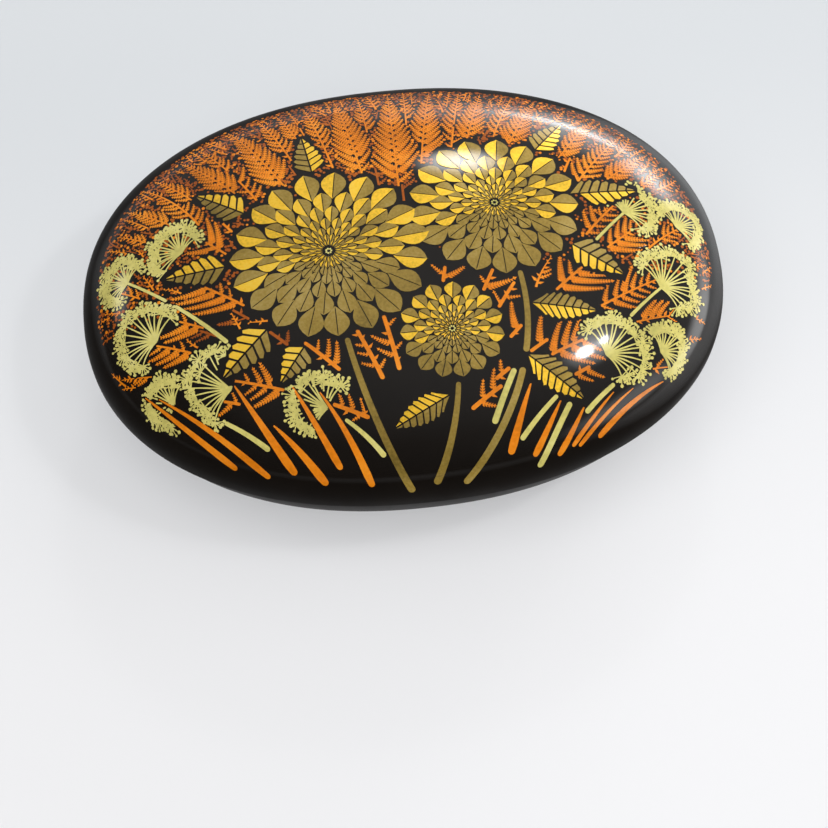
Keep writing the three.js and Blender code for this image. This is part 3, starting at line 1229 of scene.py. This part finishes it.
def draw_print(values, power):
    """The whole spray: blossoms and leaves, seed heads, grass, ferns behind them and in the gaps."""
    draws = random.Random(values.seed)
    art = FlatPrint(power, values.edge_share)
    for blossom in BLOSSOMS:
        draw_blossom(art, draws, *blossom)
    art.settle(BLOSSOM_GAP)
    for x, y, heading, length, width in LEAVES:
        draw_leaf(art, x, y, math.radians(heading), length, width)
    art.settle(LEAF_GAP)
    for points in FLOWER_STEMS:
        stem = bent_line(*points, LINE_STEP)
        art.stroke("bronze", stem, taper(0.8, 1.3, len(stem)), 5)
    art.settle(LEAF_GAP)
    blades, first, spacing, width = FRONT_GRASS
    for k in range(blades):
        draw_grass(art, draws, "orange", first + spacing * k, width)
    for seed_head in SEED_HEADS:
        draw_seed_head(art, draws, "straw", *seed_head)
    blades, first, spacing, width = BACK_GRASS
    for k in range(blades):
        draw_grass(art, draws, "straw" if k % 4 == 1 else "orange", first + spacing * k, width)
    for fan in FRONT_FANS:
        draw_fan(art, draws, *fan)
    fill_gaps(art, draws, *FRONT_FERNLETS)
    draw_fan(art, draws, *BACK_FAN)
    fill_gaps(art, draws, *BACK_FERNLETS)
    for specks in SPECKS:
        fill_specks(art, draws, *specks)
    return art


# Operators, one for each piece or group of like pieces


class TRINKETBOX_OT_lid(bpy.types.Operator):
    """Turns the domed lid"""

    bl_idname = "trinket_box.lid"
    bl_label = "Lid"

    def execute(self, context):
        shell = settings().shell
        shape = BoxShape(shell)
        inside, wall = shape.dome_inside, shell.lid_wall
        rings = shape.swelling_rings(inside, wall, shape.seam, inside.pole(wall), HOLLOW_RINGS)[::-1]
        rings[-1:] = eased_edge(shape.wall(wall), shape.seam, -INSIDE_EASE, -1)
        rings += eased_edge(shape.wall(0.0), shape.seam, shell.ease, -1)[::-1]
        rings += shape.swelling_rings(shape.dome, 0.0, shape.dome.spring, shape.crown, DOME_RINGS)
        piece = turned_piece("lid_dome", rings, shape.power)
        sharpen(piece)
        dress(piece, "lid", lacquer_finish("gloss_lacquer", lid_coat), ["lid_shell"])
        return {"FINISHED"}


class TRINKETBOX_OT_print(bpy.types.Operator):
    """Draws the spray of flowers and ferns and lays it on the dome, one film for each ink"""

    bl_idname = "trinket_box.print"
    bl_label = "Print"

    def execute(self, context):
        values, finish = settings().art, settings().finish
        shape = BoxShape(settings().shell)
        art = draw_print(values, shape.power)
        finishes = {
            "rust": ink_finish("rust_ink", finish.rust, 0.7, (0.5, 0.13, 0.01)),
            "orange": ink_finish("orange_ink", finish.orange, 0.75, (0.9, 0.31, 0.02)),
            "straw": ink_finish("straw_ink", finish.straw, 0.72, (0.78, 0.71, 0.28)),
            # On the blossoms the bronze foil is painted shade of the gold foil, and the gold is its painted
            # highlight.
            "bronze": foil_finish("bronze_foil", finish.bronze, (0.5, 0.37, 0.12), 0.4),
            "gold": foil_finish("gold_foil", finish.gold, (1.0, 0.7, 0.1), 0.34),
        }
        for layer, ink in enumerate(INKS):
            lift = values.film + layer * values.film_step
            piece = self.lay_film(shape, f"print_{ink}", art.points[ink], art.faces[ink], lift)
            dress(piece, "lid", finishes[ink])
        return {"FINISHED"}

    @staticmethod
    def lay_film(shape, name, points, faces, lift):
        """One ink, as a thin closed film on the dome that takes the dome's shading."""
        if not faces:
            raise RuntimeError(f"{name} has nothing drawn on it")
        values = settings().art
        flat = np.array(points)
        x, y = flat[:, 0] / PRINT_HALF_LENGTH, (flat[:, 1] - values.shift) / PRINT_HALF_WIDTH
        top, normals = shape.dome_points(x, y, lift)
        back, _ = shape.dome_points(x, y, lift - values.thickness)
        faces, ways = closed_film(faces, len(flat))
        corners = np.concatenate(faces) % len(flat)
        facing = np.repeat(ways, [len(face) for face in faces])
        places = np.stack([x[corners], y[corners]], axis=1) / 2 + 0.5
        places[facing < 0] *= BACK_SHARE
        piece = mesh_piece(name, [*top, *back], faces, places)
        piece.data.normals_split_custom_set((normals[corners] * facing[:, None]).tolist())
        return piece


class TRINKETBOX_OT_base(bpy.types.Operator):
    """Turns the bowl on its foot ring and the collar that locates the lid"""

    bl_idname = "trinket_box.base"
    bl_label = "Base and Collar"

    # The collar's chamfer: its height over its depth, its rings, and the narrow crest above it
    LEAD_RISE = 1.2
    LEAD_RINGS = 4
    CREST_HEIGHT = 0.1 * MM
    CREST_DEPTH = 0.12 * MM

    def execute(self, context):
        shell = settings().shell
        shape = BoxShape(shell)
        finish = lacquer_finish("satin_lacquer", satin_coat)
        bowl = turned_piece("bowl", self.bowl_rings(shell, shape), shape.power)
        sharpen(bowl)
        dress(bowl, "base", finish, ["base_shell"])
        collar = turned_piece("collar", self.collar_rings(shell, shape), shape.power, closed=True)
        sharpen(collar)
        dress(collar, "base", finish, ["locating_collar"])
        return {"FINISHED"}

    @staticmethod
    def bowl_rings(shell, shape):
        """The bowl's profile, from the middle of its underside round to the middle of its floor."""
        top, seat, bowl = BASE_HIGH.z, shape.collar_seat, shape.bowl
        outside = shape.wall(shape.overhang)
        foot = outside.scaled(shape.foot_share, 0.0)
        recess = foot.shrunk(shell.foot_ring, 0.0)
        rebate = shape.collar_inset - shell.glue_gap
        rings = [middle(shell.recess), recess.shrunk(0.0, shell.recess)]
        rings += eased_edge(recess, 0.0, -INSIDE_EASE, -1)
        rings += eased_edge(foot, 0.0, shell.ease, -1)[::-1]
        rings += shape.swelling_rings(bowl, shape.overhang, bowl.spring, shell.foot_step, BOWL_RINGS)[::-1]
        rings += eased_edge(outside, top, shell.ease, 1)
        rings += eased_edge(shape.wall(rebate), top, -REBATE_EASE, 1)[::-1]
        rings.append(shape.wall(rebate, seat))
        rings += shape.swelling_rings(bowl, shape.base_inside, seat, shape.floor_top, WALL_RINGS)
        rings.append(middle(shape.floor_top))
        return rings

    def collar_rings(self, shell, shape):
        """The collar's profile, with a chamfer that leads the lid on."""
        low, high, lead = COLLAR_LOW.z, COLLAR_HIGH.z, shell.collar_lead
        outside = shape.wall(shape.collar_inset)
        inside = shape.wall(shape.collar_inset + shell.collar_wall)
        lead_start = outside.shrunk(0.0, high - self.LEAD_RISE * lead)
        rings = [outside.shrunk(0.0, low), lead_start]
        rings += between(lead_start, outside.shrunk(lead, high - self.CREST_HEIGHT), self.LEAD_RINGS)
        rings.append(outside.shrunk(lead + self.CREST_DEPTH, high))
        rings += eased_edge(inside, high, -COLLAR_EASE, 1)[::-1]
        rings.append(inside.shrunk(0.0, low))
        return rings


class TRINKETBOX_OT_linings(bpy.types.Operator):
    """Lays the velvet linings in the lid and round the bowl"""

    bl_idname = "trinket_box.linings"
    bl_label = "Velvet Linings"

    # Size of the waves in the velvet, and rings across its cut edges
    WAVE_SIZE = 11 * MM
    HEM_RINGS = 3
    # Girth of this oval over that of a circle with its mean radius
    OVAL_GIRTH = 1.02
    # Share of a straight strip that is left of the wall's velvet, which narrows towards the floor
    WALL_SHARE = 0.88

    def execute(self, context):
        shell, lining = settings().shell, settings().lining
        shape = BoxShape(shell)
        self.line_lid(shell, lining, shape)
        self.line_wall(shell, lining, shape)
        return {"FINISHED"}

    def line_lid(self, shell, lining, shape):
        """Velvet under the dome, cut flat as an oval."""
        inside = shape.dome_inside
        back = shell.lid_wall + shell.glue_gap
        face = back + lining.thickness
        edge = inside.spring + lining.lift
        rings = shape.swelling_rings(inside, face, edge, inside.pole(face), HOLLOW_RINGS)[::-1]
        outer = shape.swelling_rings(inside, back, edge, inside.pole(back), HOLLOW_RINGS)
        rings += between(rings[-1], outer[0], self.HEM_RINGS)[:-1]
        piece = turned_piece("lid_velvet", rings + outer, shape.power)
        self.glue(piece, lining, "lid", ["lid_lining"])

    def line_wall(self, shell, lining, shape):
        """Velvet round the bowl's wall, cut flat as a strip."""
        back = shape.base_inside + shell.glue_gap
        face = back + lining.thickness
        front = shape.swelling_rings(shape.bowl, face, shape.collar_seat, PAD_LOW.z, WALL_RINGS)
        rear = shape.swelling_rings(shape.bowl, back, shape.collar_seat, PAD_LOW.z, WALL_RINGS)[::-1]
        rings = rear + between(rear[-1], front[0], self.HEM_RINGS)[:-1] + front
        piece = turned_piece("wall_velvet", rings, shape.power, closed=True)
        self.glue(piece, lining, "base", ["wall_lining"])

    def glue(self, piece, lining, body, nodes):
        """Lets the velvet wave a little and dresses it."""
        waved(piece, lining.pucker, self.WAVE_SIZE)
        sharpen(piece, CLOTH_EDGE)
        dress(piece, body, velvet_finish(), nodes)


class TRINKETBOX_OT_cushion(bpy.types.Operator):
    """Swells the padded velvet floor by cloth simulation"""

    bl_idname = "trinket_box.cushion"
    bl_label = "Floor Cushion"

    # The cover before it swells: how much smaller it is, its side, its edges and how much lower its middle
    TUCK = 0.7 * MM
    SIDE = 3.4 * MM
    HEM = 0.4 * MM
    SHOULDER = 1.0 * MM
    SLACK = 0.9 * MM
    FLAT_RINGS = 8
    CROWN_RINGS = 10
    # The simulation works on an enlarged copy: lengths from here on are its own
    ENLARGED = 10.0
    VOXEL = 0.0115
    FRAMES = 20
    PRESSURE = 4.0
    GLUED_HEIGHT = 0.006
    LARGEST_MOVE = 0.014
    EVENING = 6

    def execute(self, context):
        shape = BoxShape(settings().shell)
        seat, top = PAD_LOW.z, PAD_HIGH.z
        outline = Ring(PAD_HIGH.x, PAD_HIGH.y, 0.0)
        small = outline.shrunk(self.TUCK, 0.0)
        shoulder = seat + self.SIDE
        rings = [middle(seat)]
        rings += [small.scaled(step / self.FLAT_RINGS, seat) for step in range(1, self.FLAT_RINGS)]
        rings += eased_edge(small, seat, self.HEM, -1)[::-1]
        rings += eased_edge(small, shoulder, self.SHOULDER, 1)
        edge = rings[-1]
        rise = top - self.SLACK - shoulder
        for step in range(1, self.CROWN_RINGS + 1):
            share = 1 - step / self.CROWN_RINGS
            rings.append(edge.scaled(share, shoulder + rise * (1 - share**2)))
        piece = turned_piece("floor_cushion", rings, shape.power)
        self.swell(context, piece, seat)
        self.fit(piece, outline, seat, top)
        dress(piece, "base", velvet_finish(), ["pad_cover", "pad_wadding"])
        return {"FINISHED"}

    def swell(self, context, piece, seat):
        """Blows the cover up round its filling, held where it is glued below, and smooths it once."""
        scene = context.scene
        for vertex in piece.data.vertices:
            vertex.co *= self.ENLARGED
        remesh = piece.modifiers.new("even_mesh", "REMESH")
        remesh.mode = "VOXEL"
        remesh.voxel_size = self.VOXEL
        self.apply(context, piece)
        start = np.array([vertex.co for vertex in piece.data.vertices])
        glued_below = seat * self.ENLARGED + self.GLUED_HEIGHT
        held = [k for k, point in enumerate(start) if point[2] < glued_below]
        piece.vertex_groups.new(name="glued").add(held, 1.0, "REPLACE")
        cloth = piece.modifiers.new("cover", "CLOTH")
        cloth.settings.vertex_group_mass = "glued"
        cloth.settings.use_pressure = True
        cloth.settings.uniform_pressure_force = self.PRESSURE
        cloth.settings.effector_weights.gravity = 0.0
        cloth.settings.shrink_min = -0.06
        cloth.settings.bending_stiffness = 0.2
        cloth.collision_settings.use_collision = False
        cloth.point_cache.frame_start = 1
        cloth.point_cache.frame_end = self.FRAMES
        for number in range(1, self.FRAMES + 1):
            scene.frame_set(number)
        self.apply(context, piece)
        scene.frame_set(1)
        moved = np.array([vertex.co for vertex in piece.data.vertices]) - start
        far = np.linalg.norm(moved, axis=1, keepdims=True)
        moved *= np.minimum(1.0, self.LARGEST_MOVE / np.maximum(far, 1e-9))
        for vertex, place in zip(piece.data.vertices, (start + moved) / self.ENLARGED):
            vertex.co = Vector(place)
        piece.vertex_groups.clear()
        even = piece.modifiers.new("even", "SMOOTH")
        even.factor = 0.5
        even.iterations = self.EVENING
        smooth = piece.modifiers.new("smooth", "SUBSURF")
        smooth.levels = smooth.render_levels = 1
        self.apply(context, piece)

    @staticmethod
    def apply(context, piece):
        """Writes the modifiers into the mesh."""
        found = piece.evaluated_get(context.evaluated_depsgraph_get())
        mesh = bpy.data.meshes.new_from_object(found)
        old = piece.data
        piece.modifiers.clear()
        piece.data = mesh
        mesh.name = old.name
        bpy.data.meshes.remove(old)
        mesh.polygons.foreach_set("use_smooth", [True] * len(mesh.polygons))

    @staticmethod
    def fit(piece, outline, seat, top):
        """Brings the cushion back into the room that it has."""
        places = np.array([vertex.co for vertex in piece.data.vertices])
        size = np.abs(places).max(axis=0)
        places[:, 0] *= outline.half_length / size[0]
        places[:, 1] *= outline.half_width / size[1]
        low, high = places[:, 2].min(), places[:, 2].max()
        places[:, 2] = seat + (places[:, 2] - low) * (top - seat) / (high - low)
        for vertex, place in zip(piece.data.vertices, places):
            vertex.co = Vector(place)
        piece.data.update()


class TRINKETBOX_OT_felt(bpy.types.Operator):
    """Cuts the felt inside the foot ring and finishes the card below the cushion"""

    bl_idname = "trinket_box.felt"
    bl_label = "Felt and Card"

    FLAT_RINGS = 12

    def execute(self, context):
        shape = BoxShape(settings().shell)
        outline = Ring(FELT_HIGH.x, FELT_HIGH.y, 0.0)
        low, high = FELT_LOW.z, FELT_HIGH.z
        shares = [step / self.FLAT_RINGS for step in range(1, self.FLAT_RINGS)]
        rings = [middle(low)]
        rings += [outline.scaled(share, low) for share in shares]
        rings += eased_edge(outline, low, FELT_EASE, -1)[::-1]
        rings += eased_edge(outline, high, FELT_EASE, 1)
        rings += [outline.scaled(share, high) for share in reversed(shares)]
        rings.append(middle(high))
        felt = turned_piece("foot_felt", rings, shape.power)
        sharpen(felt, CLOTH_EDGE)
        dress(felt, "base", felt_finish(), ["underside_felt"])

        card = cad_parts["floor_card"]
        card.data.materials.clear()
        card.data.materials.append(card_finish())
        return {"FINISHED"}


class TRINKETBOX_OT_stage(bpy.types.Operator):
    """Sets up the floor, the lamps and the camera"""

    bl_idname = "trinket_box.stage"
    bl_label = "Stage"

    # Lamps: name, bearing from the back to the right, elevation, distance, width, height, level, edge
    # The edge is the share of the lamp over which it fades out.
    LAMPS = (
        ("window_high", 13, 40, 1.0, 0.22, 0.2, 20.0, 1.0),
        ("window_low", 26, 11, 1.0, 0.6, 0.16, 9.0, 1.0),
        ("window_right", 45, 17, 1.0, 0.36, 0.34, 9.0, 1.0),
        ("back_veil", 32, 13, 1.2, 1.7, 0.75, 4.6, 0.9),
        ("right_panel", 88, 9, 1.0, 1.3, 0.46, 4.2, 0.8),
        ("side_panel", 128, 20, 1.0, 0.9, 0.5, 2.0, 0.7),
        ("left_panel", -61, 25, 1.0, 0.34, 0.26, 3.6, 1.0),
        ("spot_near", 104.7, 59.8, 0.85, 0.075, 0.06, 70.0, 0.3),
        ("spot_far", 96.8, 56.5, 0.85, 0.045, 0.032, 70.0, 0.3),
        ("spot_glow", 101, 58.5, 0.85, 0.3, 0.24, 6.5, 1.0),
    )
    # Soft light from above the camera, which the gloss doesn't mirror
    ROOM_LIGHT = ("room_light", 215, 68, 1.3, 1.6, 1.6, 2.3, 0.3)
    # Middle of the box, which the lamps point at
    MIDDLE_HEIGHT = 0.02
    # Half side of the floor, and the camera's sensor in millimetres and nearest distance
    FLOOR_REACH = 30.0
    SENSOR = 36.0
    NEAREST = 0.01

    def execute(self, context):
        scene, stage = context.scene, settings().stage
        self.lay_floor()
        scene.world = self.room(stage)
        for lamp in self.LAMPS:
            self.add_lamp(scene, *lamp)
        self.add_lamp(scene, *self.ROOM_LIGHT).visible_glossy = False
        scene.camera = self.add_camera(scene, stage)
        scene.view_settings.view_transform = "Standard"
        return {"FINISHED"}

    def lay_floor(self):
        reach = self.FLOOR_REACH
        corners = [(-reach, -reach, 0.0), (reach, -reach, 0.0), (reach, reach, 0.0), (-reach, reach, 0.0)]
        floor = mesh_piece("floor", corners, [(0, 1, 2, 3)])
        floor.data.materials.append(floor_finish())

    @staticmethod
    def room(stage):
        """A dim room, lighter on one side, overhead and along the horizon."""
        world = bpy.data.worlds.new("studio")
        world.use_nodes = True
        tree = world.node_tree
        way = add_node(tree, "ShaderNodeTexCoord").outputs["Generated"]
        bright = (math.sin(stage.bright_side), math.cos(stage.bright_side), 0.0)
        across = add_node(tree, "ShaderNodeVectorMath", {0: way, 1: bright}, operation="DOT_PRODUCT")
        up = add_node(tree, "ShaderNodeSeparateXYZ", {"Vector": way}).outputs["Z"]
        side_span = (-0.75, 0.75, stage.front_level, stage.back_level)
        side = map_range(tree, across.outputs["Value"], *side_span, smooth=True)
        overhead = map_range(tree, up, 0.7, 1.0, 0.0, stage.top_level, smooth=True)
        horizon = map_range(tree, up, 0.02, 0.14, stage.horizon_level, 0.0, smooth=True)
        level = math_value(tree, "MAXIMUM", math_value(tree, "ADD", side, overhead), horizon)
        background = tree.nodes["Background"]
        tree.links.new(level, background.inputs["Strength"])
        background.inputs["Color"].default_value = (1.0, 1.0, 1.0, 1.0)
        return world

    def add_camera(self, scene, stage):
        flat = math.cos(stage.elevation) * stage.distance
        eye = Vector((math.sin(stage.turn) * flat, -math.cos(stage.turn) * flat, 0.0))
        eye.z = self.MIDDLE_HEIGHT + math.sin(stage.elevation) * stage.distance
        data = bpy.data.cameras.new("camera")
        data.lens = stage.lens
        data.sensor_width = self.SENSOR
        data.clip_start = self.NEAREST
        camera = bpy.data.objects.new("camera", data)
        camera.location = eye
        self.look_at(camera, Vector((stage.aim_x, stage.aim_y, 0.0)))
        scene.collection.objects.link(camera)
        return camera

    @staticmethod
    def look_at(thing, target):
        thing.rotation_euler = (target - thing.location).to_track_quat("-Z", "Y").to_euler()

    def add_lamp(self, scene, name, bearing, elevation, distance, width, height, level, edge):
        """A round lamp that points at the box and fades towards its edge. Its level is its brightness."""
        turn, rise = math.radians(bearing), math.radians(elevation)
        data = bpy.data.lights.new(name, "AREA")
        data.shape = "ELLIPSE"
        data.size, data.size_y = width, height
        data.energy = level * math.pi * math.pi / 4 * width * height
        data.use_nodes = True
        tree = data.node_tree
        place = add_node(tree, "ShaderNodeNewGeometry").outputs["Parametric"]
        away = add_node(tree, "ShaderNodeVectorMath", {0: place, 1: (0.5, 0.5, 0.0)}, operation="DISTANCE")
        fade = map_range(tree, away.outputs["Value"], 0.5 * (1 - edge), 0.5, 1.0, 0.0, smooth=True)
        tree.links.new(fade, tree.nodes["Emission"].inputs["Strength"])
        lamp = bpy.data.objects.new(name, data)
        flat = math.cos(rise) * distance
        lamp.location = (math.sin(turn) * flat, math.cos(turn) * flat, math.sin(rise) * distance)
        self.look_at(lamp, Vector((0.0, 0.0, self.MIDDLE_HEIGHT)))
        scene.collection.objects.link(lamp)
        return lamp


class TRINKETBOX_PT_sidebar(bpy.types.Panel):
    """Lists the pieces of the trinket box and their settings"""

    bl_idname = "TRINKETBOX_PT_sidebar"
    bl_label = "Trinket Box"
    bl_space_type = "VIEW_3D"
    bl_region_type = "UI"
    bl_category = "Trinket Box"

    def draw(self, context):
        values = settings()
        for operator in OPERATORS:
            self.layout.operator(operator.bl_idname)
        for group in (values.shell, values.finish, values.art, values.lining, values.stage):
            column = self.layout.box().column()
            for name in group.__annotations__:
                column.prop(group, name)


GROUPS = (ShellSizes, FinishValues, PrintValues, LiningValues, StageValues, TrinketBoxSettings)
OPERATORS = (
    TRINKETBOX_OT_stage,
    TRINKETBOX_OT_lid,
    TRINKETBOX_OT_print,
    TRINKETBOX_OT_base,
    TRINKETBOX_OT_linings,
    TRINKETBOX_OT_cushion,
    TRINKETBOX_OT_felt,
)
CLASSES = (*GROUPS, *OPERATORS, TRINKETBOX_PT_sidebar)


def register():
    for entry in CLASSES:
        bpy.utils.register_class(entry)
    bpy.types.Scene.trinket_box = bpy.props.PointerProperty(type=TrinketBoxSettings)


def unregister():
    del bpy.types.Scene.trinket_box
    for entry in reversed(CLASSES):
        bpy.utils.unregister_class(entry)


def main():
    register()
    steps = bpy.ops.trinket_box
    steps.stage()
    steps.lid()
    steps.print()
    steps.base()
    steps.linings()
    steps.cushion()
    steps.felt()


if __name__ == "__main__":
    main()
